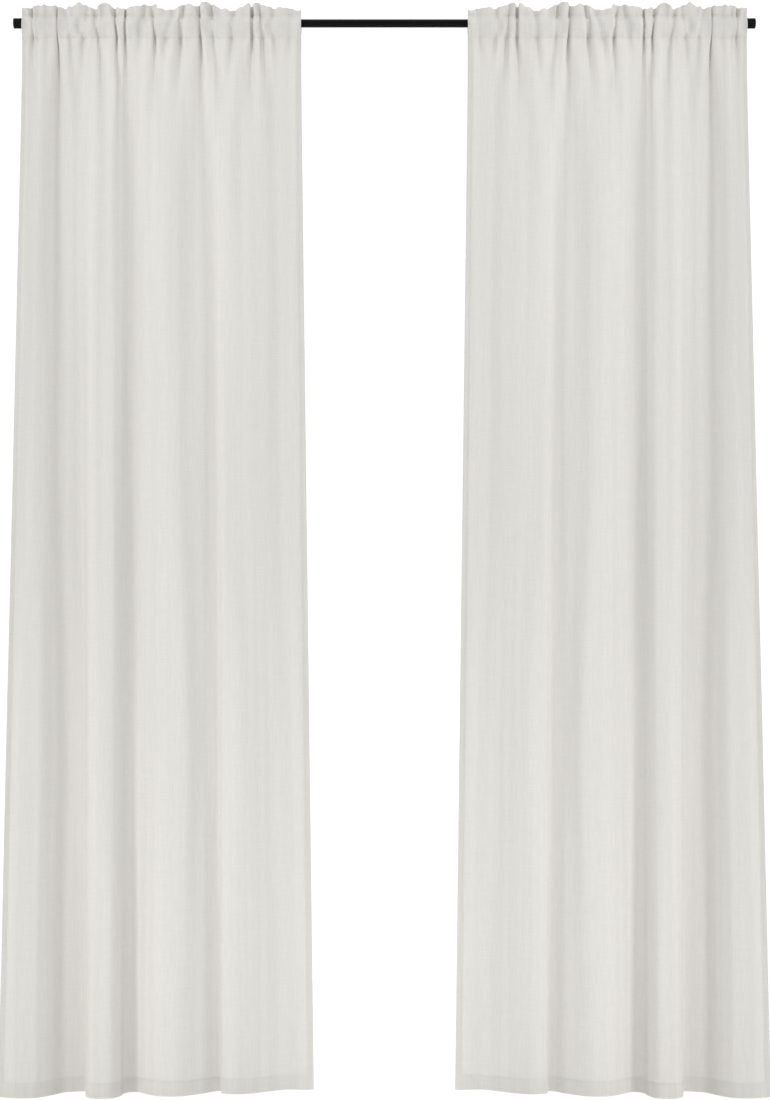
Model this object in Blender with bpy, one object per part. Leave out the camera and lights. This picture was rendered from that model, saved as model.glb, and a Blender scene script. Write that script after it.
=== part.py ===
"""Two gathered curtain panels on a spring tension rod.

The frame's origin is the centre of the left end cap's flat face, on the rod's axis. +X runs along
the rod, -Y faces the room, +Z is up. The left panel is modelled in this frame, and the right
panel is its mirror image about the middle of the rod. Each cloth piece is one zone of a panel:
the header that stands over the rod, the pocket around the rod, the drop, and the sewn hems.
"""

import bisect
import math

import bmesh
import bpy

# Driving dimensions, in metres.
GAP = 0.0003  # between pieces that touch

ROD_LENGTH = 1.456  # between the two cap faces
OUTER_TUBE_LENGTH = 0.914
OUTER_TUBE_DIAMETER = 0.0159
OUTER_TUBE_WALL = 0.0006
INNER_TUBE_LENGTH = 0.914
INNER_TUBE_DIAMETER = 0.0127
INNER_TUBE_WALL = 0.0007

CAP_WALL = 0.00175  # of the skirt over the wide tube
CAP_LENGTH = 0.0180
CAP_END_WALL = 0.0030
CAP_EDGE_RADIUS = 0.0012

SLEEVE_DEPTH = 0.0250  # how far the mouth sleeve reaches into the outer tube
SLEEVE_FLANGE_WIDTH = 0.0025
SLEEVE_FLANGE_RIM = 0.0006  # how far the flange stands out past the outer tube

SHAFT_DIAMETER = 0.0050
SHAFT_LENGTH = 0.1300
SHAFT_HEAD_LENGTH = 0.0030
COLLAR_LENGTH = 0.0160
COLLAR_WALL = 0.0022
COLLAR_SLOT = 0.0020
CONE_TAIL = 0.0040
WASHER_THICKNESS = 0.0015
BUSH_LENGTH = 0.0150
BUSH_LIP = 0.0020
SPRING_WIRE = 0.0012
SPRING_TURNS = 11
SPRING_LENGTH = 0.0620
SPRING_STOP_LENGTH = 0.0100
SPRING_SIDE_ROOM = 0.0005  # between the spring and the inner tube's bore

PANEL_START = 0.0190  # the outer edge of a panel, at the rod
PANEL_WIDTH = 0.5440  # gathered on the rod
PANEL_WIDTH_AT_HEM = 0.6125
OUTER_FLARE = 0.0435  # how far the outer edge swings outwards on its way down
PANEL_HEIGHT = 2.1340  # the sewn panel, header to hem
HEADER_TOP = 0.0340  # above the rod's axis
POCKET_BOTTOM = 0.0280  # below the rod's axis
POCKET_EASE = 0.0005  # between the pocket's lining and the largest thing on the rod
BOTTOM_HEM = 0.0300
SIDE_HEM = 0.0120

FOLD_DEPTH_TOP = 0.0090  # the deepest fold's reach into the room, at the rod
FOLD_DEPTH_HEM = 0.0450  # and at the hem
FOLD_GROWTH = 0.6  # the folds deepen with this power of the way down
GATHERS = 15  # small gathers across the header
GATHER_DEPTH = 0.0090
CLOTH = 0.0006  # one layer
HEADER_LAYERS = 2
HEM_LAYERS = 3
THREAD = 0.0004
THREAD_WIDTH = 0.0012
THREAD_INSET = 0.0015  # from the edge of the folded cloth to the seam

# The folds at the hem, seen from above. Across runs from 0 at the outer edge to 1 at the leading
# edge, and depth from -1 at the deepest fold's crest, on the room side.
FOLD_LINE = [
    (0.00, -0.73), (0.06, -0.90), (0.12, -0.84), (0.165, -0.42), (0.20, -0.02), (0.24, 0.18),
    (0.27, 0.20), (0.282, 0.00), (0.275, -0.50), (0.295, -0.90), (0.325, -1.00), (0.36, -0.93),
    (0.385, -0.58), (0.395, -0.15), (0.415, 0.06), (0.44, 0.03), (0.465, -0.20), (0.50, -0.52),
    (0.545, -0.62), (0.60, -0.50), (0.645, -0.12), (0.675, 0.28), (0.698, 0.42), (0.71, 0.28),
    (0.705, 0.02), (0.72, -0.18), (0.76, -0.25), (0.80, -0.17), (0.845, 0.13), (0.89, 0.42),
    (0.935, 0.50), (0.975, 0.45), (1.00, 0.48),
]

# How finely the round and folded shapes are cut.
SIDES = 24
FOLD_COLUMNS = 72
FOLD_LINE_STEPS = 40  # from one point of the fold line to the next
COLUMNS_PER_GATHER = 4
DROP_ROWS = 8
WIRE_SIDES = 6
SPRING_STEPS_PER_TURN = 12

# Sizes that follow from the driving ones.
PANEL_BOTTOM = HEADER_TOP - PANEL_HEIGHT
OUTER_TUBE_START = CAP_END_WALL + GAP
OUTER_TUBE_END = OUTER_TUBE_START + OUTER_TUBE_LENGTH
OUTER_BORE = OUTER_TUBE_DIAMETER / 2 - OUTER_TUBE_WALL
INNER_TUBE_END = ROD_LENGTH - CAP_END_WALL - GAP
INNER_TUBE_START = INNER_TUBE_END - INNER_TUBE_LENGTH
INNER_BORE = INNER_TUBE_DIAMETER / 2 - INNER_TUBE_WALL
CAP_RADIUS = OUTER_TUBE_DIAMETER / 2 + GAP + CAP_WALL
FLANGE_RADIUS = OUTER_TUBE_DIAMETER / 2 + SLEEVE_FLANGE_RIM
POCKET_CLEAR_RADIUS = max(CAP_RADIUS, FLANGE_RADIUS) + POCKET_EASE


def clear_scene():
    for obj in list(bpy.data.objects):
        bpy.data.objects.remove(obj, do_unlink=True)


def material(name, colour, roughness, metallic=0.0):
    made = bpy.data.materials.new(name)
    made.use_nodes = True
    shader = made.node_tree.nodes["Principled BSDF"]
    shader.inputs["Base Color"].default_value = (*colour, 1.0)
    shader.inputs["Roughness"].default_value = roughness
    shader.inputs["Metallic"].default_value = metallic
    made.diffuse_color = (*colour, 1.0)
    return made


def add_object(name, mesh, finish):
    """One named object from a bmesh, with its finish."""
    data = bpy.data.meshes.new(name)
    mesh.to_mesh(data)
    mesh.free()
    data.materials.append(finish)
    obj = bpy.data.objects.new(name, data)
    bpy.context.scene.collection.objects.link(obj)
    return obj


def turned(name, outline, finish):
    """A piece turned about the rod's axis, from a closed outline of (x, radius) points."""
    mesh = bmesh.new()
    points = [mesh.verts.new((x, 0.0, radius)) for x, radius in outline]
    edges = [
        mesh.edges.new((a, b))
        for a, b in zip(points, points[1:] + points[:1])
        if a.co.z > 0 or b.co.z > 0
    ]
    bmesh.ops.spin(
        mesh,
        geom=points + edges,
        cent=(0, 0, 0),
        axis=(1, 0, 0),
        angle=2 * math.pi,
        steps=SIDES,
        use_merge=True,
    )
    bmesh.ops.remove_doubles(mesh, verts=mesh.verts, dist=1e-6)
    bmesh.ops.recalc_face_normals(mesh, faces=mesh.faces)
    obj = add_object(name, mesh, finish)
    obj.data.shade_smooth()
    obj.data.set_sharp_from_angle(angle=math.radians(35))
    return obj


def ring_outline(start, end, inner_radius, outer_radius):
    return [(start, outer_radius), (end, outer_radius), (end, inner_radius), (start, inner_radius)]


def end_cap_outline(tube_diameter):
    """A cup over a tube's end, with its flat face at x = 0 and its skirt towards +X."""
    skirt = tube_diameter / 2 + GAP
    return [
        (0, 0),
        (0, CAP_RADIUS - CAP_EDGE_RADIUS),
        (CAP_EDGE_RADIUS * 0.3, CAP_RADIUS - CAP_EDGE_RADIUS * 0.3),
        (CAP_EDGE_RADIUS, CAP_RADIUS),
        (CAP_LENGTH, CAP_RADIUS),
        (CAP_LENGTH, skirt),
        (CAP_END_WALL, skirt),
        (CAP_END_WALL, 0),
    ]


def make_outer_rod(paint, rubber, nylon):
    """The wide tube, its cap, and the sleeve in its mouth that guides the narrow tube."""
    tube_radius = OUTER_TUBE_DIAMETER / 2
    turned(
        "outer_tube",
        ring_outline(OUTER_TUBE_START, OUTER_TUBE_END, OUTER_BORE, tube_radius),
        paint,
    )
    turned("left_end_cap", end_cap_outline(OUTER_TUBE_DIAMETER), rubber)
    sleeve_outside = OUTER_BORE - GAP
    sleeve_bore = INNER_TUBE_DIAMETER / 2 + GAP
    flange_start = OUTER_TUBE_END + GAP
    flange_end = flange_start + SLEEVE_FLANGE_WIDTH
    turned(
        "mouth_sleeve",
        [
            (OUTER_TUBE_END - SLEEVE_DEPTH, sleeve_outside),
            (flange_start, sleeve_outside),
            (flange_start, FLANGE_RADIUS),
            (flange_end, FLANGE_RADIUS),
            (flange_end, sleeve_bore),
            (OUTER_TUBE_END - SLEEVE_DEPTH, sleeve_bore),
        ],
        nylon,
    )


def make_lock(nylon, steel):
    """The twist lock: a slit collar in the wide tube, and the shaft whose cone spreads it."""
    head_end = INNER_TUBE_START + BUSH_LENGTH + GAP + SHAFT_HEAD_LENGTH
    shaft_start = head_end - SHAFT_LENGTH
    collar_start = shaft_start + CONE_TAIL
    collar_end = collar_start + COLLAR_LENGTH
    collar_outside = OUTER_BORE - 2 * GAP
    collar_bore = collar_outside - COLLAR_WALL
    collar = turned(
        "lock_collar",
        ring_outline(collar_start, collar_end, collar_bore, collar_outside),
        nylon,
    )
    cut_slot(collar, collar_start, collar_end, collar_bore, collar_outside)

    # The cone's small end runs inside the collar, and its wide tail stands outside it.
    shaft_radius = SHAFT_DIAMETER / 2
    cone_bore = shaft_radius + GAP
    turned(
        "lock_cone",
        [
            (shaft_start, collar_outside - GAP),
            (collar_start - GAP, collar_outside - GAP),
            (collar_start - GAP, collar_bore - GAP),
            (collar_end - COLLAR_LENGTH / 4, (cone_bore + collar_bore) / 2),
            (collar_end - COLLAR_LENGTH / 4, cone_bore),
            (shaft_start, cone_bore),
        ],
        nylon,
    )
    washer_start = collar_end + GAP
    turned(
        "thrust_washer",
        ring_outline(
            washer_start, washer_start + WASHER_THICKNESS, shaft_radius + GAP, collar_outside - GAP
        ),
        steel,
    )
    head_radius = INNER_BORE - GAP
    turned(
        "lock_shaft",
        [
            (shaft_start, 0),
            (shaft_start, shaft_radius),
            (head_end - SHAFT_HEAD_LENGTH, shaft_radius),
            (head_end - SHAFT_HEAD_LENGTH, head_radius),
            (head_end, head_radius),
            (head_end, 0),
        ],
        steel,
    )
    return head_end


def cut_slot(collar, start, end, bore, outside):
    """Opens the collar along its top with a cutter that passes through one wall."""
    middle = (bore + outside) / 2
    mesh = bmesh.new()
    bmesh.ops.create_cube(mesh, size=1.0)
    length = (end - start) * 1.2
    height = (outside - bore) * 2
    bmesh.ops.scale(mesh, vec=(length, COLLAR_SLOT, height), verts=mesh.verts)
    bmesh.ops.translate(mesh, vec=((start + end) / 2, 0, middle), verts=mesh.verts)
    data = bpy.data.meshes.new("collar_slot_cutter")
    mesh.to_mesh(data)
    mesh.free()
    cutter = bpy.data.objects.new("collar_slot_cutter", data)
    cutter.hide_render = True
    cutter.display_type = "WIRE"
    bpy.context.scene.collection.objects.link(cutter)
    slot = collar.modifiers.new("slot", "BOOLEAN")
    slot.operation = "DIFFERENCE"
    slot.object = cutter


def make_inner_rod(paint, rubber, nylon, steel, head_end):
    """The narrow tube with its cap, and the bush, spring and stop inside it."""
    tube_radius = INNER_TUBE_DIAMETER / 2
    turned(
        "inner_tube",
        ring_outline(INNER_TUBE_START, INNER_TUBE_END, INNER_BORE, tube_radius),
        paint,
    )
    cap = end_cap_outline(INNER_TUBE_DIAMETER)
    turned("right_end_cap", [(ROD_LENGTH - x, radius) for x, radius in cap], rubber)
    bush_bore = SHAFT_DIAMETER / 2 + GAP
    bush_outside = INNER_BORE - GAP
    lip_start = INNER_TUBE_START - GAP - BUSH_LIP
    turned(
        "guide_bush",
        [
            (lip_start, tube_radius),
            (INNER_TUBE_START - GAP, tube_radius),
            (INNER_TUBE_START - GAP, bush_outside),
            (INNER_TUBE_START + BUSH_LENGTH, bush_outside),
            (INNER_TUBE_START + BUSH_LENGTH, bush_bore),
            (lip_start, bush_bore),
        ],
        nylon,
    )
    spring_start = head_end + GAP
    make_spring(steel, spring_start)
    stop_start = spring_start + SPRING_LENGTH + GAP
    turned(
        "spring_stop",
        [
            (stop_start, 0),
            (stop_start, INNER_BORE - GAP),
            (stop_start + SPRING_STOP_LENGTH, INNER_BORE - GAP),
            (stop_start + SPRING_STOP_LENGTH, 0),
        ],
        nylon,
    )


def make_spring(steel, start):
    """A compression spring: round wire wound about the rod's axis."""
    wire_radius = SPRING_WIRE / 2
    coil_radius = INNER_BORE - SPRING_SIDE_ROOM - wire_radius
    run = SPRING_LENGTH - SPRING_WIRE
    count = SPRING_TURNS * SPRING_STEPS_PER_TURN + 1
    curve = bpy.data.curves.new("spring", "CURVE")
    curve.dimensions = "3D"
    curve.bevel_depth = wire_radius
    curve.bevel_resolution = WIRE_SIDES // 2 - 2
    curve.use_fill_caps = True
    line = curve.splines.new("POLY")
    line.points.add(count - 1)
    for index, point in enumerate(line.points):
        turn = index / (count - 1)
        angle = 2 * math.pi * SPRING_TURNS * turn
        x = start + wire_radius + run * turn
        point.co = (x, coil_radius * math.cos(angle), coil_radius * math.sin(angle), 1.0)
    curve.materials.append(steel)
    obj = bpy.data.objects.new("spring", curve)
    bpy.context.scene.collection.objects.link(obj)


def smooth_fold_line():
    """Points close together on a smooth curve through the fold line, and the way along it."""
    ends = [FOLD_LINE[0], *FOLD_LINE, FOLD_LINE[-1]]
    curve = []
    for a, b, c, d in zip(ends, ends[1:], ends[2:], ends[3:]):
        for index in range(FOLD_LINE_STEPS):
            t = index / FOLD_LINE_STEPS
            curve.append(
                [
                    q + 0.5 * t * (r - p + t * (2 * p - 5 * q + 4 * r - s + t * (3 * (q - r) + s - p)))
                    for p, q, r, s in zip(a, b, c, d)
                ]
            )
    curve.append(list(FOLD_LINE[-1]))
    travelled = [0.0]
    for (x0, y0), (x1, y1) in zip(curve, curve[1:]):
        step = math.hypot(PANEL_WIDTH_AT_HEM * (x1 - x0), FOLD_DEPTH_HEM * (y1 - y0))
        travelled.append(travelled[-1] + step)
    return curve, travelled


FOLD_CURVE, FOLD_TRAVEL = smooth_fold_line()
CLOTH_WIDTH = FOLD_TRAVEL[-1]  # of the sewn panel laid flat


def on_fold_line(share):
    """Across and depth at a share of the cloth's width, as it folds at the hem."""
    along = min(max(share, 0.0), 1.0) * CLOTH_WIDTH
    index = min(bisect.bisect_right(FOLD_TRAVEL, along), len(FOLD_TRAVEL) - 1)
    before, after = FOLD_TRAVEL[index - 1], FOLD_TRAVEL[index]
    t = (along - before) / (after - before)
    return [p + (q - p) * t for p, q in zip(FOLD_CURVE[index - 1], FOLD_CURVE[index])]


def fold_point(share, z):
    """A point of the drop: share 0 is the outer edge and 1 the leading edge."""
    down = min(max(z / PANEL_BOTTOM, 0.0), 1.0)
    outer = PANEL_START - OUTER_FLARE * down
    width = PANEL_WIDTH + (PANEL_WIDTH_AT_HEM - PANEL_WIDTH) * down
    depth = FOLD_DEPTH_TOP + (FOLD_DEPTH_HEM - FOLD_DEPTH_TOP) * down**FOLD_GROWTH
    across, out = on_fold_line(share)
    return outer + width * (share + (across - share) * down), depth * out


def gather_point(share, z):
    """A point of the header ruffle, which keeps one depth all the way up."""
    x = PANEL_START + PANEL_WIDTH * share
    return x, -GATHER_DEPTH * math.cos(2 * math.pi * GATHERS * share)


def forward(shape, share, z, distance):
    """The point moved out of the room side of the cloth, square to it."""
    step = 1e-4
    x0, y0 = shape(share - step, z)
    x1, y1 = shape(share + step, z)
    length = math.hypot(x1 - x0, y1 - y0)
    x, y = shape(share, z)
    return x + distance * (y1 - y0) / length, y - distance * (x1 - x0) / length


def cloth(name, shape, shares, heights, thickness, finish, right, ahead=0.0):
    """One zone of a panel: a grid on the given shape, thickened on both sides."""
    mesh = bmesh.new()
    grid = []
    for z in heights:
        row = []
        for share in shares:
            x, y = forward(shape, share, z, ahead)
            row.append(mesh.verts.new((ROD_LENGTH - x if right else x, y, z)))
        grid.append(row)
    for low, high in zip(grid, grid[1:]):
        for a, b, c, d in zip(low, low[1:], high[1:], high):
            mesh.faces.new((a, b, c, d))
    obj = add_object(name, mesh, finish)
    wall = obj.modifiers.new("thickness", "SOLIDIFY")
    wall.thickness = thickness
    wall.offset = 0.0
    obj.data.shade_smooth()
    return obj


def steps(start, end, count):
    return [start + (end - start) * index / count for index in range(count + 1)]


def pocket_section(grow):
    """The pocket's section in Y and Z: two layers that meet above and below the rod."""
    radius = POCKET_CLEAR_RADIUS + grow
    apex = radius * math.sqrt(2)
    side = radius + 0.001
    shoulder = apex - side
    bottom = POCKET_BOTTOM + grow * 2
    return [
        (0, apex),
        (side, shoulder),
        (side, -shoulder),
        (0, -bottom),
        (-side, -shoulder),
        (-side, shoulder),
    ]


def make_pocket(name, finish, right):
    """The open-ended sleeve that the rod runs through."""
    start = PANEL_START
    end = PANEL_START + PANEL_WIDTH
    if right:
        start, end = ROD_LENGTH - end, ROD_LENGTH - start
    mesh = bmesh.new()
    rings = [
        [mesh.verts.new((x, y, z)) for y, z in pocket_section(grow)]
        for x, grow in ((start, CLOTH), (end, CLOTH), (end, 0.0), (start, 0.0))
    ]
    for ring, following in zip(rings, rings[1:] + rings[:1]):
        count = len(ring)
        for index in range(count):
            after = (index + 1) % count
            mesh.faces.new((ring[index], ring[after], following[after], following[index]))
    bmesh.ops.recalc_face_normals(mesh, faces=mesh.faces)
    add_object(name, mesh, finish)


def make_panel(side, fabric, thread):
    """All the cloth zones and seams of one panel."""
    right = side == "right"
    side_share = SIDE_HEM / CLOTH_WIDTH
    gap_share = GAP / PANEL_WIDTH
    seam_share = THREAD_WIDTH / PANEL_WIDTH
    inset_share = THREAD_INSET / PANEL_WIDTH

    pocket_top = max(z for _, z in pocket_section(CLOTH))
    pocket_low = min(z for _, z in pocket_section(CLOTH))
    header_low = pocket_top + GAP
    drop_top = pocket_low - GAP
    hem_top = PANEL_BOTTOM + BOTTOM_HEM
    drop_low = hem_top + GAP

    across = steps(0.0, 1.0, FOLD_COLUMNS)
    inside = steps(side_share + gap_share, 1.0 - side_share - gap_share, FOLD_COLUMNS)
    gathers = steps(0.0, 1.0, GATHERS * COLUMNS_PER_GATHER)
    drop_heights = steps(drop_low, drop_top, DROP_ROWS)
    header_wall = CLOTH * HEADER_LAYERS
    hem_wall = CLOTH * HEM_LAYERS

    cloth(
        f"{side}_header", gather_point, gathers, [header_low, HEADER_TOP], header_wall, fabric, right
    )
    make_pocket(f"{side}_rod_pocket", fabric, right)
    cloth(f"{side}_drop", fold_point, inside, drop_heights, CLOTH, fabric, right)
    cloth(
        f"{side}_bottom_hem", fold_point, across, [PANEL_BOTTOM, hem_top], hem_wall, fabric, right
    )
    outer_shares = [0.0, side_share]
    leading_shares = [1.0 - side_share, 1.0]
    cloth(
        f"{side}_outer_side_hem", fold_point, outer_shares, drop_heights, hem_wall, fabric, right
    )
    cloth(
        f"{side}_leading_side_hem", fold_point, leading_shares, drop_heights, hem_wall, fabric, right
    )

    def seam(name, shape, shares, heights, wall):
        ahead = wall / 2 + GAP + THREAD
        cloth(f"{side}_{name}", shape, shares, heights, THREAD, thread, right, ahead)

    header_seam = header_low + THREAD_INSET
    pocket_seam = drop_top - THREAD_INSET
    hem_seam = hem_top - THREAD_INSET
    outer_seam = side_share - inset_share
    leading_seam = 1.0 - outer_seam
    side_span = steps(drop_low, pocket_seam - THREAD_WIDTH - GAP, DROP_ROWS)
    seam(
        "header_seam", gather_point, gathers, [header_seam, header_seam + THREAD_WIDTH], header_wall
    )
    seam("pocket_seam", fold_point, inside, [pocket_seam - THREAD_WIDTH, pocket_seam], CLOTH)
    seam("bottom_hem_seam", fold_point, across, [hem_seam - THREAD_WIDTH, hem_seam], hem_wall)
    seam("outer_side_seam", fold_point, [outer_seam - seam_share, outer_seam], side_span, hem_wall)
    seam(
        "leading_side_seam", fold_point, [leading_seam, leading_seam + seam_share], side_span, hem_wall
    )


def build():
    clear_scene()
    paint = material("black_powder_coat", (0.012, 0.012, 0.013), 0.45, 0.0)
    rubber = material("black_rubber", (0.020, 0.020, 0.021), 0.80)
    nylon = material("black_nylon", (0.040, 0.040, 0.042), 0.55)
    steel = material("zinc_plated_steel", (0.560, 0.570, 0.580), 0.35, 1.0)
    fabric = material("off_white_linen_weave", (0.760, 0.745, 0.705), 0.90)
    thread = material("off_white_thread", (0.800, 0.785, 0.745), 0.80)
    make_outer_rod(paint, rubber, nylon)
    head_end = make_lock(nylon, steel)
    make_inner_rod(paint, rubber, nylon, steel, head_end)
    for side in ("left", "right"):
        make_panel(side, fabric, thread)


build()
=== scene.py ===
# %% [markdown]
# # A pair of curtains gathered on a tension rod
#
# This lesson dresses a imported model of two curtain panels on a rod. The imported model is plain: it
# holds the sizes, the joints and simple solids. Here each panel becomes one sheet of cloth, folded
# and sewn the way a real panel is, and each visible part of the rod gets its finish.
#
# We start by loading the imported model. It is the frame: nothing in it is moved or resized, and
# every place below is read from it.

# %% Load the frame
import math

import bmesh
import bpy
import numpy as np
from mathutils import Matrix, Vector


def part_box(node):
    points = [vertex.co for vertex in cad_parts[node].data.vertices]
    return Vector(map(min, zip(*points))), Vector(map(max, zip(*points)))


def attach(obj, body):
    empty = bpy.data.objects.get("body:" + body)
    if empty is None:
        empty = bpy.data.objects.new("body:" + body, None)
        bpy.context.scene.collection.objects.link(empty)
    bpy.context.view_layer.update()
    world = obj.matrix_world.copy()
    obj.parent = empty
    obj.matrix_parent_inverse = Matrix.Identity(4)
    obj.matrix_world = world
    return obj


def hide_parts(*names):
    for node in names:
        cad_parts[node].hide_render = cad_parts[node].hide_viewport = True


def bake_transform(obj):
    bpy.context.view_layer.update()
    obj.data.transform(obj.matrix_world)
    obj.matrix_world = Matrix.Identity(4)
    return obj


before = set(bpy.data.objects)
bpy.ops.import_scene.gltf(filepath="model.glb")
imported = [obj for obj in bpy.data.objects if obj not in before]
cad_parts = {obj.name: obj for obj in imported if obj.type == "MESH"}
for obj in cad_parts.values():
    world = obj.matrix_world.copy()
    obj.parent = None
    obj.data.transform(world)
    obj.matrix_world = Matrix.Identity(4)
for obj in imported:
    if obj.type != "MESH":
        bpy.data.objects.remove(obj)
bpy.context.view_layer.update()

MM = 0.001

# %% [markdown]
# ## The sizes we need
#
# The rod's axis is at y = z = 0. A panel is sewn from one cloth, so all we need from the frame is
# where the rod ends, how far the gathers run along it, and where the header, pocket and hem are.
# Numbers that only belong to the cloth, such as the width of a side hem, are set here.

# %% Read the sizes from the frame
ROD_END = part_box("right_end_cap")[1].x
ROD_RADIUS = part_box("outer_tube")[1].z
GATHER_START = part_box("left_rod_pocket")[0].x
GATHER_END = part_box("left_rod_pocket")[1].x
GATHER_WIDTH = GATHER_END - GATHER_START
HEADER_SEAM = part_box("left_header_seam")[0].z - 2 * MM
POCKET_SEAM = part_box("left_pocket_seam")[0].z + 3 * MM
HEM_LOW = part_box("left_bottom_hem")[0].z
HEM_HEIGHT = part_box("left_bottom_hem")[1].z - HEM_LOW
SIDE_HEM = 12 * MM
LAYER = 0.8 * MM  # from one layer of folded cloth to the next
DROP = POCKET_SEAM - HEM_LOW
print(f"rod {ROD_END:.3f} m, gathers {GATHER_WIDTH:.3f} m wide, drop {DROP:.3f} m")

# %% [markdown]
# ## The camera
#
# The view is straight on, from half the curtains' height and about four metres away, so that both
# the top and the hem are seen at a slight slant. The lens follows from the height that the picture
# covers at the curtains, because Blender's 36 mm sensor lies along the picture's longer side.

# %% Place the camera
VIEW_HEIGHT = 2.160
CAMERA_DISTANCE = 4.0
CAMERA_BELOW_ROD = 1.034
SENSOR_MM = 36.0

lens = bpy.data.cameras.new("camera")
lens.sensor_width = SENSOR_MM
lens.lens = SENSOR_MM * CAMERA_DISTANCE / VIEW_HEIGHT
camera = bpy.data.objects.new("camera", lens)
camera.location = (ROD_END / 2 + 0.001, -CAMERA_DISTANCE, -CAMERA_BELOW_ROD)
camera.rotation_euler = (math.radians(90), 0, 0)
bpy.context.scene.collection.objects.link(camera)
bpy.context.scene.camera = camera
print(f"lens {lens.lens:.1f} mm")

# %% [markdown]
# ## Colours and nodes
#
# Colours are written as sRGB hex, as a paint chart gives them, and one function turns them to the
# linear values that Blender's shaders use. One more function adds a shader node with its settings
# and its links, so that each material below reads as a short list.


# %% Helpers for materials
def linear(hex_colour):
    """An sRGB hex colour as linear RGBA."""
    channels = [int(hex_colour[i : i + 2], 16) / 255 for i in (1, 3, 5)]
    return (
        *[c / 12.92 if c <= 0.04045 else ((c + 0.055) / 1.055) ** 2.4 for c in channels],
        1.0,
    )


def new_material(name):
    """An empty node material, and its tree."""
    material = bpy.data.materials.new(name)
    material.use_nodes = True
    material.node_tree.nodes.clear()
    return material, material.node_tree


def add(tree, kind, settings=None, **inputs):
    """Adds a node. settings are its properties; an input is a value, or a socket to link from."""
    node = tree.nodes.new(kind)
    for key, value in (settings or {}).items():
        setattr(node, key, value)
    for key, value in inputs.items():
        socket = node.inputs[int(key[1:])] if key[1:].isdigit() else node.inputs[key.replace("_", " ")]
        if isinstance(value, bpy.types.NodeSocket):
            tree.links.new(value, socket)
        else:
            socket.default_value = value
    return node


# %% [markdown]
# ## The cloth: a semi-sheer slub weave
#
# The real cloth is a light polyester made to look like linen: plain weave, matt, and thin enough
# that light comes through it. Its uneven yarns, called slubs, run mostly down the panel and give
# faint vertical streaks.
#
# So the shader is a mix: a matt face that scatters light back, a small share that lets light
# through to the other side, and a few percent of open gaps between the threads. Both shares are
# kept small, because with more of them the hems turned darker than the single cloth beside them.
# The price is that the rod hardly shows through its pocket. The patterns read the UV map, which
# holds each point's place on the flat cloth in metres, so they follow the folds.


# %% Make the cloth's material
STREAK_WIDTH = 22 * MM
STREAK_LENGTH = 900 * MM
SLUB_WIDTH = 1.8 * MM
SLUB_LENGTH = 45 * MM
THREAD_SPACING = 1.1 * MM  # really about 0.5 mm, drawn coarser so that it shows
WAVES_PER_METRE = 0.314  # a wave texture's Scale that gives one wave a metre
LIGHT_THROUGH = 0.03
MOST_OPEN, LEAST_OPEN = 0.045, 0.01  # gaps, between thin yarns and in the slubs


def stretched_noise(tree, place, width, length, detail):
    """Noise whose grains are width across the cloth and length along it."""
    grain = add(tree, "ShaderNodeMapping", Vector=place, Scale=(1 / width, 1 / length, 1.0))
    noise = add(
        tree,
        "ShaderNodeTexNoise",
        {"noise_dimensions": "2D"},
        Vector=grain.outputs["Vector"],
        Scale=1.0,
        Detail=detail,
    )
    return noise.outputs["Fac"]


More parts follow.
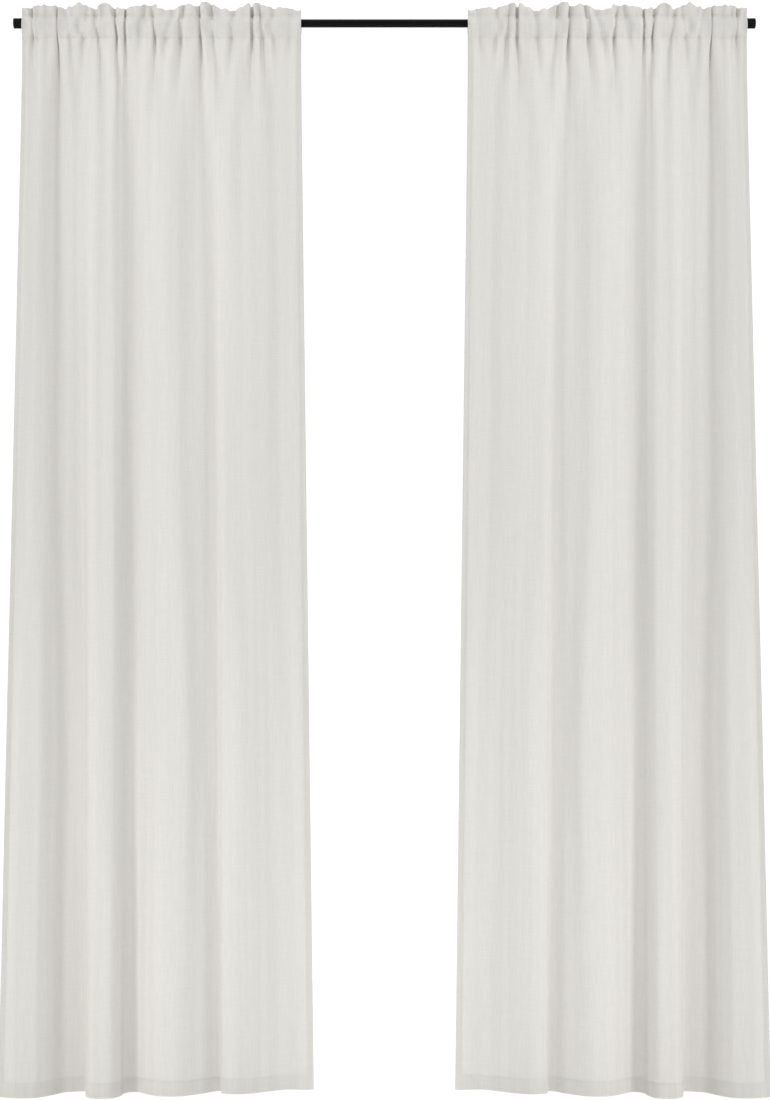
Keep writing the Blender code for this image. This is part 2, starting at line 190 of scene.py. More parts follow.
def make_cloth_material():
    material, tree = new_material("semi_sheer_linen_look_polyester")
    place = add(tree, "ShaderNodeUVMap", {"uv_map": "flat_cloth"}).outputs["UV"]
    streaks = stretched_noise(tree, place, STREAK_WIDTH, STREAK_LENGTH, 2.0)
    warp_slubs = stretched_noise(tree, place, SLUB_WIDTH, SLUB_LENGTH, 1.0)
    weft_slubs = stretched_noise(tree, place, SLUB_LENGTH, SLUB_WIDTH, 1.0)
    slubs = add(
        tree, "ShaderNodeMath", {"operation": "MULTIPLY_ADD"}, _0=weft_slubs, _1=0.6, _2=warp_slubs
    ).outputs[0]

    # The weave itself: one wave along the cloth and one across it.
    warp, weft = (
        add(
            tree,
            "ShaderNodeTexWave",
            {"bands_direction": direction, "wave_profile": "SIN"},
            Vector=place,
            Scale=WAVES_PER_METRE / THREAD_SPACING,
            Distortion=0.6,
            Detail=1.0,
        ).outputs["Fac"]
        for direction in ("X", "Y")
    )
    weave = add(tree, "ShaderNodeMath", {"operation": "MULTIPLY"}, _0=warp, _1=weft).outputs[0]

    mixed = add(
        tree, "ShaderNodeMath", {"operation": "MULTIPLY_ADD"}, _0=slubs, _1=0.5, _2=streaks
    ).outputs[0]
    tone = add(tree, "ShaderNodeMapRange", _0=mixed, _1=0.6, _2=1.2).outputs[0]
    face_colour, through_colour = (
        add(
            tree,
            "ShaderNodeMix",
            {"data_type": "RGBA"},
            _0=tone,
            _6=linear(dark),
            _7=linear(light),
        ).outputs[2]
        for dark, light in (("#D6D4D0", "#DDDBD7"), ("#D4CEC1", "#DCD7CB"))
    )
    height = add(
        tree, "ShaderNodeMath", {"operation": "MULTIPLY_ADD"}, _0=weave, _1=0.5, _2=slubs
    ).outputs[0]
    bump = add(tree, "ShaderNodeBump", Strength=0.2, Distance=0.25 * MM, Height=height).outputs[0]

    face = add(
        tree,
        "ShaderNodeBsdfPrincipled",
        Base_Color=face_colour,
        Roughness=0.92,
        Specular_IOR_Level=0.15,
        Sheen_Weight=0.05,
        Sheen_Roughness=0.6,
        Normal=bump,
    ).outputs[0]
    through = add(tree, "ShaderNodeBsdfTranslucent", Color=through_colour, Normal=bump).outputs[0]
    body = add(tree, "ShaderNodeMixShader", _0=LIGHT_THROUGH, _1=face, _2=through).outputs[0]
    openness = add(
        tree, "ShaderNodeMapRange", _0=slubs, _1=0.4, _2=1.2, _3=MOST_OPEN, _4=LEAST_OPEN
    ).outputs[0]
    gaps = add(tree, "ShaderNodeBsdfTransparent").outputs[0]
    sheer = add(tree, "ShaderNodeMixShader", _0=openness, _1=body, _2=gaps).outputs[0]
    add(tree, "ShaderNodeOutputMaterial", Surface=sheer)
    return material


cloth_material = make_cloth_material()
print(cloth_material.name, len(cloth_material.node_tree.nodes), "nodes")

# %% [markdown]
# ## The shape of a gathered panel
#
# Seen from above, a hanging panel is one long wavy line. At the rod the cloth is pushed into many
# small gathers. At the hem the same length of cloth hangs in a few large folds. Between them the
# gathers die out and the folds deepen. So the whole drape follows from two lines, one for each
# end, and a rule for how one turns into the other on the way down.
#
# The hem's line is drawn as shares of the panel's width and of its deepest fold. A smooth
# curve runs through the points, and we walk along it at even steps, because cloth doesn't
# stretch: equal steps along the line at the hem are equal steps across the flat cloth.

# %% The line of the folds at the hem
FOLD_LINE = [
    (0.00, -0.73), (0.06, -0.90), (0.12, -0.84), (0.165, -0.42), (0.20, -0.02), (0.24, 0.18),
    (0.27, 0.20), (0.282, 0.00), (0.275, -0.50), (0.295, -0.90), (0.325, -1.00), (0.36, -0.93),
    (0.385, -0.58), (0.395, -0.15), (0.415, 0.06), (0.44, 0.03), (0.465, -0.20), (0.50, -0.52),
    (0.545, -0.62), (0.60, -0.50), (0.645, -0.18), (0.675, 0.14), (0.698, 0.27), (0.71, 0.15),
    (0.705, -0.05), (0.72, -0.18), (0.76, -0.25), (0.80, -0.17), (0.845, 0.13), (0.89, 0.42),
    (0.935, 0.50), (0.975, 0.45), (1.00, 0.48),
]
LINE_STEPS = 2001


def smooth_line(points):
    """Points at even steps along a smooth curve through the given ones, and its length."""
    points = np.array(points, float)
    padded = np.vstack([points[:1], points, points[-1:]])
    fine = np.linspace(0, len(points) - 1, 2 * LINE_STEPS)
    left = np.clip(fine.astype(int), 0, len(points) - 2)
    t = (fine - left)[:, None]
    a, b, c, d = (padded[left + shift] for shift in range(4))
    curve = b + 0.5 * t * (c - a + t * (2 * a - 5 * b + 4 * c - d + t * (3 * (b - c) + d - a)))
    steps = np.linalg.norm(np.diff(curve, axis=0), axis=1)
    travelled = np.concatenate([[0], np.cumsum(steps)])
    even = np.linspace(0, travelled[-1], LINE_STEPS)
    return np.column_stack([np.interp(even, travelled, curve[:, k]) for k in (0, 1)]), travelled[-1]


hem_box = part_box("left_bottom_hem")
HEM_OUTER, HEM_WIDTH = hem_box[0].x, hem_box[1].x - hem_box[0].x
FOLD_DEPTH = -hem_box[0].y
hem_line, CLOTH_WIDTH = smooth_line(np.array(FOLD_LINE) * (HEM_WIDTH, FOLD_DEPTH))
hem_line[:, 0] += HEM_OUTER
SHARES = np.linspace(0, 1, LINE_STEPS)
print(f"cloth across the hem {CLOTH_WIDTH:.3f} m, hung on {GATHER_WIDTH:.3f} m of rod")

# %% [markdown]
# ## The gathers on the rod
#
# A panel pushed along a rod doesn't make even waves. It makes sharp tucks, where the cloth is
# pinched back against the rod, with rounder bulges between them. Each tuck is listed with its
# place along the gathers, how hard it is pinched, how far its crease runs down the panel, and how
# far the crease drifts sideways on the way. It also wanders a little near the rod, so that it
# doesn't look ruled. The three long ones grow into folds at the hem. `ROD_SHARES` says where along
# the rod a part of the flat cloth sits, so that each fold hangs straight down from its own tuck.

# %% Tucks
# Place along the gathers, pinch from 0 to 1, length of the crease, drift across per metre.
TUCKS_MM = [
    (20, 0.5, 70, 0.10), (68, 0.95, 900, 0.01), (93, 0.45, 120, 0.20), (121, 0.45, 190, -0.12),
    (148, 0.6, 130, 0.22), (181, 0.8, 170, 0.20), (203, 0.9, 800, 0.02), (230, 0.4, 90, -0.25),
    (257, 0.7, 150, 0.15), (284, 0.5, 110, -0.20), (311, 0.85, 170, -0.10), (347, 0.9, 800, 0.06),
    (376, 0.6, 150, 0.20), (411, 0.5, 200, -0.15), (446, 1.0, 300, -0.03), (472, 0.75, 160, 0.18),
    (496, 0.5, 120, 0.10), (524, 0.3, 60, -0.20),
]  # fmt: skip
TUCK_WIDTH = 7 * MM  # of cloth, at the rod
TUCK_SPREAD = 0.12  # how much wider the crease gets per metre below it
TUCK_WANDER = 1.8 * MM  # how far a crease wanders to each side
WANDER_FADE = 150 * MM
GATHER_DEPTH = 6.8 * MM  # each side of the middle
BULGE_FADE = 140 * MM  # how soon the bulges between the tucks die out
FOLD_GROWTH = 0.6  # the folds deepen with this power of the way down
CLOTH_SHARES = [0.0, 0.155, 0.25, 0.344, 0.416, 0.55, 0.67, 0.74, 0.868, 1.0]
ROD_SHARES = [0.0, 0.118, 0.20, 0.30, 0.36, 0.50, 0.645, 0.705, 0.845, 1.0]


def swell(share, waves, phase):
    """A sine of so many waves across the whole cloth."""
    return np.sin(2 * np.pi * waves * share + phase)


def soften(values, width):
    """A table over SHARES, averaged over the given share of it, with its ends kept."""
    reach = int(width * LINE_STEPS / 2)
    start = 2 * values[0] - values[reach:0:-1]
    end = 2 * values[-1] - values[-2 : -reach - 2 : -1]
    padded = np.concatenate([start, values, end])
    return np.convolve(padded, np.full(2 * reach + 1, 1 / (2 * reach + 1)), "valid")


rod_shares = soften(np.interp(SHARES, CLOTH_SHARES, ROD_SHARES), 0.05)
tuck_shares = np.interp([t[0] * MM / GATHER_WIDTH for t in TUCKS_MM], rod_shares, SHARES)


def pinch(share, z):
    """How far the cloth is tucked in at each share and height, from 0 to 1."""
    fall = POCKET_SEAM - z
    below = np.clip(fall, 0, DROP)
    width = (TUCK_WIDTH + TUCK_SPREAD * below) / CLOTH_WIDTH
    free = 1.0
    for place, (_, strength, crease, drift) in zip(tuck_shares, TUCKS_MM):
        wander = TUCK_WANDER * np.sin(55 * fall + 40 * place) * np.exp(-below / WANDER_FADE)
        centre = place + (drift * fall + wander) / CLOTH_WIDTH
        groove = np.exp(-(((share - centre) / width) ** 2) - below / (crease * MM))
        free = free * (1 - strength * groove)
    return 1 - free


# A tuck's steep sides take up cloth without moving along the rod, so x runs slower there. This is
# what makes a tuck narrow and a bulge wide.
step = CLOTH_WIDTH / (LINE_STEPS - 1)
steepness = np.gradient(2 * GATHER_DEPTH * pinch(SHARES, POCKET_SEAM), step)
travel = np.cumsum(np.sqrt(np.clip(1 - steepness**2, 0.01, 1))) * step
bunching = travel - soften(travel, 0.12)
print(len(TUCKS_MM), f"tucks, steepest {steepness.max():.2f}")

# %% [markdown]
# ## From the gathers to the folds
#
# `drape` gives the middle of the cloth at any share of its width and any height. The bulges
# between the tucks die out within a hand's width or two, the long creases run on, and the folds
# of the hem's line grow from nothing. A few shallow ripples keep the cloth from looking turned on
# a lathe: short puckers under the seam, and long soft ones all the way down.
#
# The rule is made for the looks, and it doesn't keep the cloth's width. A row about 200 mm below
# the rod is only some 0.77 of the flat cloth across, and the rows come back to its full width at
# the hem. Real cloth would keep its width, and so would show more or deeper folds up there.


# %% The drape
PUCKER_DEPTH = 1.3 * MM
PUCKER_FADE = 60 * MM
RIPPLE_DEPTH = 1.7 * MM
RIPPLES = [(6.3, 1.0, 0.7), (10.7, 0.7, 2.1), (17.3, 0.4, 1)]  # waves, share of the depth, phase


def drape(share, z):
    """Across and depth of the cloth at each share and height, up to the pocket's seam."""
    below = np.clip(POCKET_SEAM - z, 0, DROP)
    down = below / DROP
    on_rod = GATHER_START + GATHER_WIDTH * np.interp(share, SHARES, rod_shares)
    hem_x, hem_y = (np.interp(share, SHARES, hem_line[:, k]) for k in (0, 1))
    bulges = np.exp(-below / BULGE_FADE)
    wave = GATHER_DEPTH * (2 * pinch(share, z) - bulges)
    lean = 0.25 * swell(share, 1.7, 0.6) * bulges * wave
    puckers = PUCKER_DEPTH * swell(share + 0.1 * below, 27, 0.5) * np.exp(-below / PUCKER_FADE)
    wander = share + 0.012 * np.sin(3.1 * below) + 0.006 * np.sin(7.3 * below + 1)
    ripples = sum(depth * swell(wander, waves, phase) for waves, depth, phase in RIPPLES)
    ripples = RIPPLE_DEPTH * ripples * (1 - np.exp(-below / 0.1)) * (1 - 0.6 * down)
    x = on_rod * (1 - down) + hem_x * down + lean + bulges * np.interp(share, SHARES, bunching)
    return x, wave + puckers + ripples + hem_y * down**FOLD_GROWTH


def front_normal(share, z):
    """The direction, seen from above, out of the cloth's room side."""
    step = 2e-4
    x0, y0 = drape(np.clip(share - step, 0, 1), z)
    x1, y1 = drape(np.clip(share + step, 0, 1), z)
    length = np.hypot(x1 - x0, y1 - y0)
    return (y1 - y0) / length, -(x1 - x0) / length


# %% [markdown]
# ## The pocket and the ruffle
#
# Between the two seams the front and back layers part to pass the rod. Where the cloth is tucked
# in, its front layer lies on the rod. In a few more places, the hollows, it sinks onto the rod
# without a tuck. At the outer end the pocket's mouth opens wider, so that the rod's thicker cap
# can slide in. Above the upper seam the layers meet again and stand up as a ruffle, whose edge
# rises and dips from gather to gather.

# %% Points on the folded, sewn cloth
ROD_CLEARANCE = 1.0 * MM
CAP_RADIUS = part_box("left_end_cap")[1].z
MOUTH_LENGTH = 24 * MM  # of the pocket's outer end, wide enough for a cap to slide in
FRONT_EASE = 10 * MM  # how far a bulge stands off the rod
BACK_EASE = 6 * MM
FRONT, BACK = 0, 1
# Place along the gathers, and how far the hollow reaches to each side.
HOLLOWS_MM = [(6, 8), (84, 12), (112, 8), (236, 9), (310, 8), (371, 13), (488, 9)]
HOLLOW_PULL = 0.9  # how nearly a hollow closes onto the rod
RUFFLE_TOP_MM = [  # along the gathers, and above the rod's axis
    (0, 28), (40, 32), (75, 30), (95, 31), (112, 37), (130, 30), (146, 29), (160, 38),
    (186, 28), (225, 31), (255, 35), (280, 25), (308, 34), (323, 37), (339, 33), (362, 38),
    (408, 24), (435, 35), (446, 33), (458, 38), (485, 30), (515, 29), (544, 23),
]  # fmt: skip

ruffle_line, _ = smooth_line(np.array(RUFFLE_TOP_MM) * MM)


def along_rod(share):
    """How far along the gathers a share of the cloth's width hangs."""
    return GATHER_WIDTH * np.interp(share, SHARES, rod_shares)


def ruffle_top(share):
    """Height of the ruffle's edge: the listed line, with a fine frill on it."""
    frill = 1.0 * swell(share, 29, 0.3) + 0.8 * swell(share, 47, 2.0)
    return np.interp(along_rod(share), ruffle_line[:, 0], ruffle_line[:, 1]) + frill * MM


def off_the_rod(share, z):
    """How freely the pocket's front stands off the rod: 1 on a bulge, 0 in a tuck or a hollow."""
    free = 1 - pinch(share, z)
    for place, reach in HOLLOWS_MM:
        free = free * (1 - HOLLOW_PULL * np.exp(-(((along_rod(share) / MM - place) / reach) ** 2)))
    return free


def cloth_point(share, z, layer, behind):
    """A point of the sewn cloth. behind is how far it lies behind the front face's layer."""
    x, y = drape(share, z)
    nx, ny = front_normal(share, z)
    middle, half = (HEADER_SEAM + POCKET_SEAM) / 2, (HEADER_SEAM - POCKET_SEAM) / 2
    parted = np.clip(1 - np.abs((z - middle) / half), 0, 1)
    parted = np.sin(parted * np.pi / 2) ** 1.2
    free = off_the_rod(share, z)
    mouth = np.clip(2 - along_rod(share) / MOUTH_LENGTH, 0, 1)
    reach = ROD_RADIUS + (CAP_RADIUS - ROD_RADIUS) * mouth + ROD_CLEARANCE
    if layer == FRONT:
        away = -(reach + free * FRONT_EASE)
    else:
        away = reach + free * BACK_EASE
    over = np.clip(z - HEADER_SEAM, 0, None)
    lean = over * (0.22 * swell(share, 5.3, 1.3) - 0.08)
    y = (y * (1 + 20 * over) - ny * behind) * (1 - parted) + away * parted + lean
    round_rod = np.sqrt(np.clip(reach**2 - z**2, 0, None))
    if layer == FRONT:
        y = np.where(round_rod > 0, np.minimum(y, -round_rod), y)
    else:
        y = np.where(round_rod > 0, np.maximum(y, round_rod), y)
    return x - nx * behind, y, z


# %% [markdown]
# ## One sheet, folded on all four sides
#
# A real panel is one cut of cloth. Each side is turned back and stitched, the bottom is turned up
# and stitched, and the top is folded over to the back to make the ruffle and the pocket. We build
# the same thing as one grid. A row of the grid runs across the cloth, and each row knows its
# height, its layer, and how far behind the front face it lies. The columns do the same for the
# turned-back side hems.

# %% Rows and columns of the cut cloth
COLUMNS = 400
DROP_ROWS = 120
POCKET_ROWS = 20
RUFFLE_ROWS = 8
FOLDED_BEHIND = 2.6 * LAYER  # from the front face to the layer that is folded to the back


def make_rows():
    """Height above the rod, rise up the ruffle, layer and turn of every row, back flap to hem."""
    rows = []
    pocket = np.linspace(POCKET_SEAM, HEADER_SEAM, POCKET_ROWS)
    rows += [(z, 0.0, BACK, 1.0) for z in pocket]
    rises = np.linspace(0, 1, RUFFLE_ROWS)[1:]
    rows += [(HEADER_SEAM, rise, BACK, 1.0) for rise in rises]
    rows += [(HEADER_SEAM, 1.02, BACK, 0.5)]
    rows += [(HEADER_SEAM, rise, FRONT, 0.0) for rise in rises[::-1]]
    rows += [(z, 0.0, FRONT, 0.0) for z in pocket[::-1]]
    drop = POCKET_SEAM + (HEM_LOW - POCKET_SEAM) * np.linspace(0, 1, DROP_ROWS)[1:] ** 1.25
    rows += [(z, 0.0, FRONT, 0.0) for z in drop]
    rows += [(HEM_LOW - 0.3 * MM, 0.0, FRONT, 0.5)]
    rows += [(z, 0.0, FRONT, 1.0) for z in HEM_LOW + HEM_HEIGHT * np.linspace(0, 1, 5)]
    return rows


def make_columns():
    """Share of the finished width and turn of every column, side flap to side flap."""
    hem = SIDE_HEM / CLOTH_WIDTH
    flap = [(hem, 1.0), (hem / 2, 1.0), (0.0006, 1.0), (-0.0002, 0.5)]
    main = [(share, 0.0) for share in np.linspace(0.0, 1.0, COLUMNS)]
    return flap + main + [(1 - share, turn) for share, turn in reversed(flap)]


rows, columns = make_rows(), make_columns()
print(len(rows), "rows by", len(columns), "columns")


# %% Build a panel
def panel_grid():
    """Every grid point, and its place on the flat cloth."""
    share, side_turn = np.array(columns).T
    edge = np.where(share < 0, -1, np.where(share > 1, 1, 0)) * 0.3 * MM
    flat_u = np.concatenate([[0], np.cumsum(np.abs(np.diff(share)))]) * CLOTH_WIDTH
    share = np.clip(share, 0, 1)
    points, flat, flat_v, last = [], [], 0.0, None
    for z, rise, layer, turn in rows:
        height = z + rise * (ruffle_top(share) - HEADER_SEAM)
        behind = turn * FOLDED_BEHIND + side_turn * (1 - 2 * turn) * LAYER
        x, y, height = cloth_point(share, height, layer, behind)
        middle = float(np.mean(height))
        flat_v += 0.0 if last is None else abs(middle - last)
        last = middle
        points.append(np.column_stack([x + edge, y, height]))
        flat.append(np.column_stack([flat_u, np.full(flat_u.shape, flat_v)]))
    return np.array(points), np.array(flat)


def mirror(points):
    """The right panel's points from the left one's."""
    return points * (-1, 1, 1) + (ROD_END, 0, 0)


def grid_object(name, points, flat, material, side):
    """A mesh of quads on a grid of points, with the flat cloth as its UV map."""
    tall, wide = points.shape[:2]
    vertices = points.reshape(-1, 3)
    corner = np.arange(tall * wide).reshape(tall, wide)
    quads = np.stack([corner[:-1, :-1], corner[1:, :-1], corner[1:, 1:], corner[:-1, 1:]], axis=-1)
    quads = quads.reshape(-1, 4)
    if side == "right":
        vertices, quads = mirror(vertices), quads[:, ::-1]
    mesh = bpy.data.meshes.new(name)
    mesh.from_pydata(vertices.tolist(), [], quads.tolist())
    uv = mesh.uv_layers.new(name="flat_cloth")
    uv.data.foreach_set("uv", flat.reshape(-1, 2)[quads.ravel()].ravel().astype(np.float32))
    mesh.shade_smooth()
    mesh.set_sharp_from_angle(angle=math.radians(60))
    mesh.materials.append(material)
    obj = bpy.data.objects.new(name, mesh)
    bpy.context.scene.collection.objects.link(obj)
    return obj


grid, flat_places = panel_grid()
panels = {
    side: grid_object(f"{side}_panel_cloth", grid, flat_places, cloth_material, side)
    for side in ("left", "right")
}

# %% [markdown]
# ## The panels in place
#
# A panel swings about the rod as a whole, and its leading edge can be drawn along the rod. This
# script doesn't tie the sheets to those joints: each sheet's place is only baked into its mesh, and
# the imported model's plain pieces of the panel are hidden.


# %% Bake the panels in place and hide the imported pieces
def follow_draw(piece, side):
    start, end = GATHER_START + 0.02, GATHER_END
    if side == "right":
        start, end = ROD_END - start, ROD_END - end
    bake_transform(piece)


for side, panel in panels.items():
    follow_draw(panel, side)
    zones = ["header", "rod_pocket", "drop", "bottom_hem", "outer_side_hem", "leading_side_hem"]
    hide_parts(*[f"{side}_{zone}" for zone in zones])

# %% [markdown]
# ## Stitches
#
# Every seam is a lockstitch in cloth-coloured polyester thread: short stitches in a row, each one
# dipping into the cloth at both ends, on the front and on the back alike. Thousands of them follow
# ten lines on each panel, so Geometry Nodes lay them: the line is cut to even steps, and a stitch
# is placed at each step, turned along the line, with a small random turn so that the row looks
# sewn.

# %% Thread
STITCH_PITCH = 3.6 * MM
STITCH_LENGTH = 3.3 * MM
THREAD_THICKNESS = 0.6 * MM  # really 0.35 mm, drawn thicker so that it shows
TWIST_PITCH = 1.2 * MM


def make_thread_material():
    """Spun polyester: matt, fuzzy, with the twist of its plies along it as bumps, and painted shade in
    the grooves between the plies.
    """
    material, tree = new_material("spun_polyester_thread")
    place = add(tree, "ShaderNodeTexCoord").outputs["Object"]
    twist = add(
        tree,
        "ShaderNodeTexWave",
        {"bands_direction": "DIAGONAL"},
        Vector=place,
        Scale=WAVES_PER_METRE / TWIST_PITCH,
        Distortion=1.5,
    ).outputs["Fac"]
    # Painted shade: the twist's wave makes the thread darker in its grooves and lighter on its crests.
    colour = add(
        tree,
        "ShaderNodeMix",
        {"data_type": "RGBA"},
        _0=twist,
        _6=linear("#D0CDC6"),
        _7=linear("#E2E0DB"),
    ).outputs[2]
    bump = add(tree, "ShaderNodeBump", Strength=0.4, Distance=0.1 * MM, Height=twist).outputs[0]
    shader = add(
        tree,
        "ShaderNodeBsdfPrincipled",
        Base_Color=colour,
        Roughness=0.75,
        Specular_IOR_Level=0.3,
        Normal=bump,
    ).outputs[0]
    add(tree, "ShaderNodeOutputMaterial", Surface=shader)
    return material


thread_material = make_thread_material()


# %% The node tree that lays a row of stitches
def make_stitch_tree():
    tree = bpy.data.node_groups.new("row_of_stitches", "GeometryNodeTree")
    sockets = tree.interface
    sockets.new_socket("Line", in_out="INPUT", socket_type="NodeSocketGeometry")
    for name in ("Pitch", "Stitch Length", "Thread Thickness"):
        sockets.new_socket(name, in_out="INPUT", socket_type="NodeSocketFloat")
    sockets.new_socket("Seed", in_out="INPUT", socket_type="NodeSocketInt")
    sockets.new_socket("Stitches", in_out="OUTPUT", socket_type="NodeSocketGeometry")
    given = add(tree, "NodeGroupInput").outputs
    line = add(tree, "GeometryNodeMeshToCurve", Mesh=given["Line"]).outputs[0]
    steps = add(
        tree, "GeometryNodeResampleCurve", {"mode": "LENGTH"}, Curve=line, Length=given["Pitch"]
    ).outputs[0]
    along = add(tree, "GeometryNodeInputTangent").outputs[0]
    turn = add(tree, "FunctionNodeAlignRotationToVector", {"axis": "X"}, Vector=along).outputs[0]
    jitter = add(
        tree,
        "FunctionNodeRandomValue",
        {"data_type": "FLOAT_VECTOR"},
        _0=(0.0, -0.05, -0.09),
        _1=(0.0, 0.05, 0.09),
        Seed=given["Seed"],
    ).outputs[0]
    turn = add(
        tree, "FunctionNodeRotateRotation", {"rotation_space": "LOCAL"}, Rotation=turn, Rotate_By=jitter
    ).outputs[0]
    size = add(
        tree,
        "ShaderNodeCombineXYZ",
        X=given["Stitch Length"],
        Y=given["Thread Thickness"],
        Z=given["Thread Thickness"],
    ).outputs[0]
    stitch = add(tree, "GeometryNodeMeshUVSphere", Segments=6, Rings=4, Radius=0.5).outputs[0]
    placed = add(
        tree, "GeometryNodeInstanceOnPoints", Points=steps, Instance=stitch, Rotation=turn, Scale=size
    ).outputs[0]
    smooth = add(tree, "GeometryNodeSetShadeSmooth", Geometry=placed).outputs[0]
    real = add(tree, "GeometryNodeRealizeInstances", Geometry=smooth).outputs[0]
    painted = add(tree, "GeometryNodeSetMaterial", Geometry=real, Material=thread_material).outputs[0]
    add(tree, "NodeGroupOutput", Stitches=painted)
    return tree


stitch_tree = make_stitch_tree()
print(stitch_tree.name, len(stitch_tree.nodes), "nodes")

# %% [markdown]
# The lines themselves come from the same function that shapes the cloth, so a seam lies on its
# cloth exactly: one line on the front face and one on the face behind.

# %% Sew the seams
SEAM_INSET = 1.5 * MM  # from the edge of the folded cloth to its seam
ON_TOP = 0.2 * MM  # how far a stitch's middle stands off the cloth
SEAM_STEPS = 1200
FACES = (-ON_TOP, FOLDED_BEHIND + ON_TOP)
SIDE_FACES = (-ON_TOP, LAYER + ON_TOP)


def seam_lines():
    """For each seam, its lines of points on the front and on the back of the left panel."""
    across = np.linspace(0.001, 0.999, SEAM_STEPS)
    downward = np.linspace(POCKET_SEAM - 4 * MM, HEM_LOW + HEM_HEIGHT + 2 * MM, SEAM_STEPS)
    inset = (SIDE_HEM - SEAM_INSET) / CLOTH_WIDTH
    level = {
        "header_seam": HEADER_SEAM,
        "pocket_seam": POCKET_SEAM,
        "bottom_hem_seam": HEM_LOW + HEM_HEIGHT - SEAM_INSET,
    }
    upright = {"outer_side_seam": inset, "leading_side_seam": 1 - inset}
    lines = {}
    for seam, z in level.items():
        height = np.full(SEAM_STEPS, z)
        lines[seam] = [np.column_stack(cloth_point(across, height, FRONT, face)) for face in FACES]
    for seam, share in upright.items():
        place = np.full(SEAM_STEPS, share)
        lines[seam] = [
            np.column_stack(cloth_point(place, downward, FRONT, face)) for face in SIDE_FACES
        ]
    return lines


def sew(name, lines, seed):
    """A plain mesh of the stitches along the lines."""
    mesh = bpy.data.meshes.new(name)
    count = SEAM_STEPS
    edges = [
        (row * count + step, row * count + step + 1)
        for row in range(len(lines))
        for step in range(count - 1)
    ]
    mesh.from_pydata(np.concatenate(lines).tolist(), edges, [])
    obj = bpy.data.objects.new(name, mesh)
    bpy.context.scene.collection.objects.link(obj)
    layer = obj.modifiers.new("stitches", "NODES")
    layer.node_group = stitch_tree
    values = {
        "Pitch": STITCH_PITCH,
        "Stitch Length": STITCH_LENGTH,
        "Thread Thickness": THREAD_THICKNESS,
        "Seed": seed,
    }
    for socket in stitch_tree.interface.items_tree:
        if socket.in_out == "INPUT" and socket.name in values:
            layer[socket.identifier] = values[socket.name]
    evaluated = obj.evaluated_get(bpy.context.evaluated_depsgraph_get())
    sewn = bpy.data.meshes.new_from_object(evaluated)
    obj.modifiers.clear()
    obj.data = sewn
    return obj


for seed, (seam, lines) in enumerate(seam_lines().items()):
    for side in ("left", "right"):
        placed = lines if side == "left" else [mirror(line) for line in lines]
        row = sew(f"{side}_{seam}_stitches", placed, seed)
        follow_draw(row, side)
        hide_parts(f"{side}_{seam}")
    print(seam, len(row.data.polygons), "faces a side")

# %% [markdown]
# ## The rod
#
# The tubes are thin steel with a black powder coat: satin, with the very fine orange peel of paint
# that was melted on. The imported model's tubes have 24 sides, which shows up close, so each visible
# one is turned again here from the same sizes with 96, with its edges rounded. The rubber caps get
# what a moulded cap has: grip rings round the skirt, and grooves on the face that meets the wall.

# %% Finishes of the rod's parts


def grainy_material(name, colours, grain, bump_depth, **finish):
    """A dielectric or a metal whose colour and surface vary with grain-sized noise."""
    material, tree = new_material(name)
    place = add(tree, "ShaderNodeTexCoord").outputs["Object"]
    size = add(tree, "ShaderNodeMapping", Vector=place, Scale=[1 / width for width in grain])
    noise = add(tree, "ShaderNodeTexNoise", Vector=size.outputs[0], Scale=1.0, Detail=3.0)
    dark, light = colours
    colour = add(
        tree,
        "ShaderNodeMix",
        {"data_type": "RGBA"},
        _0=noise.outputs["Fac"],
        _6=linear(dark),
        _7=linear(light),
    ).outputs[2]
    bump = add(
        tree, "ShaderNodeBump", Strength=0.5, Distance=bump_depth, Height=noise.outputs["Fac"]
    ).outputs[0]
    shader = add(tree, "ShaderNodeBsdfPrincipled", Base_Color=colour, Normal=bump, **finish)
    add(tree, "ShaderNodeOutputMaterial", Surface=shader.outputs[0])
    return material


# Orange peel of a fraction of a millimetre, satin.
powder_coat = grainy_material(
    "black_powder_coated_steel",
    ("#030303", "#060605"),
    (0.9 * MM, 0.9 * MM, 0.9 * MM),
    0.03 * MM,
    Roughness=0.48,
    Specular_IOR_Level=0.1,
)
# Moulded rubber: dull, with a spark-eroded mould's grain.
rubber = grainy_material(
    "black_moulded_rubber",
    ("#101010", "#181817"),
    (0.5 * MM, 0.5 * MM, 0.5 * MM),
    0.05 * MM,
    Roughness=0.85,
    Specular_IOR_Level=0.12,
)
# Injection-moulded nylon: slightly waxy, nearly smooth.
nylon = grainy_material(
    "black_moulded_nylon",
    ("#1E1E20", "#29292B"),
    (1.5 * MM, 1.5 * MM, 1.5 * MM),
    0.02 * MM,
    Roughness=0.5,
    Specular_IOR_Level=0.5,
)
# Zinc plate on drawn steel: fine lines along the part, and a slightly cloudy shine.
zinc_plate = grainy_material(
    "zinc_plated_steel",
    ("#A9ADB1", "#C9CCCE"),
    (6 * MM, 0.3 * MM, 0.3 * MM),
    0.01 * MM,
    Roughness=0.34,
    Metallic=1.0,
)

INNER_FINISHES = {
    "mouth_sleeve": nylon,
    "lock_collar": nylon,
    "lock_cone": nylon,
    "guide_bush": nylon,
    "spring_stop": nylon,
    "lock_shaft": zinc_plate,
    "thrust_washer": zinc_plate,
}
for name, finish in INNER_FINISHES.items():
    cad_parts[name].data.materials.clear()
    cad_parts[name].data.materials.append(finish)
print(len(INNER_FINISHES), "packed parts finished")

# %% Turn the tubes and the caps
TURNED_SIDES = 96
TUBE_WALLS = {"outer_tube": 0.6 * MM, "inner_tube": 0.7 * MM}
EDGE = 0.15 * MM
GRIP_RINGS = 4
GRIP_DEPTH = 0.35 * MM
GROOVE_DEPTH = 0.5 * MM
CAP_CORNER = 1.2 * MM  # radius of the edge round the face
CAP_FIT = 0.3 * MM  # between a cap's bore and its tube
CAP_END_WALL = 3 * MM


